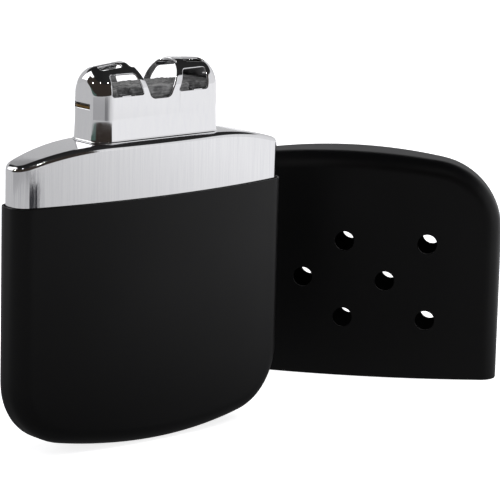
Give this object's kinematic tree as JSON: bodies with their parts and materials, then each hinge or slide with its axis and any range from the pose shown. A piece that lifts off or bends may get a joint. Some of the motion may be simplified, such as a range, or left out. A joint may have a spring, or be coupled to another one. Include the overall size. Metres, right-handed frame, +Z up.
{
  "type": "catalytic hand warmer",
  "caption": "Flat fuel tank in a black case with a chrome shoulder, a windowed lift-off catalytic burner on its neck, and a vented black lid standing beside it.",
  "frame": {"origin": "middle of the tank's curved foot, on the surface it stands on", "axes": "+X along the tank's width towards the lid, -Y out of the tank's front, +Z up"},
  "size_m": [0.1272, 0.0528, 0.0759],
  "materials": {
    "black_coating": "satin black powder coat",
    "chrome_plate": "bright chrome plate on drawn steel",
    "bare_steel": "plain drawn or punched steel",
    "tray_brass": "heat-tinted brass",
    "wick_felt": "dense white felt",
    "cotton": "loose cotton wadding",
    "glass_wool": "grey platinum-coated glass wool"
  },
  "bodies": {
    "tank": {"case_shell": "black_coating", "shoulder_shell": "chrome_plate", "filler_neck": "bare_steel", "wick_grid": "bare_steel", "wick_felt": "wick_felt", "cotton_upper": "cotton", "cotton_middle": "cotton", "cotton_lower": "cotton"},
    "burner": {"burner_hood": "chrome_plate", "burner_skirt": "bare_steel", "catalyst_tray": "tray_brass", "catalyst_gauze": "bare_steel", "catalyst_wool": "glass_wool"},
    "lid": {"lid_shell": "black_coating"}
  },
  "joints": [
    {"name": "burner_lift", "type": "slide", "parent": "tank", "child": "burner", "axis": [0, 0, 1], "range_m": [0, 0.025]},
    {"name": "lid_lift", "type": "slide", "parent": "tank", "child": "lid", "axis": [0, 0, 1], "range_m": [0, 0.08]}
  ]
}
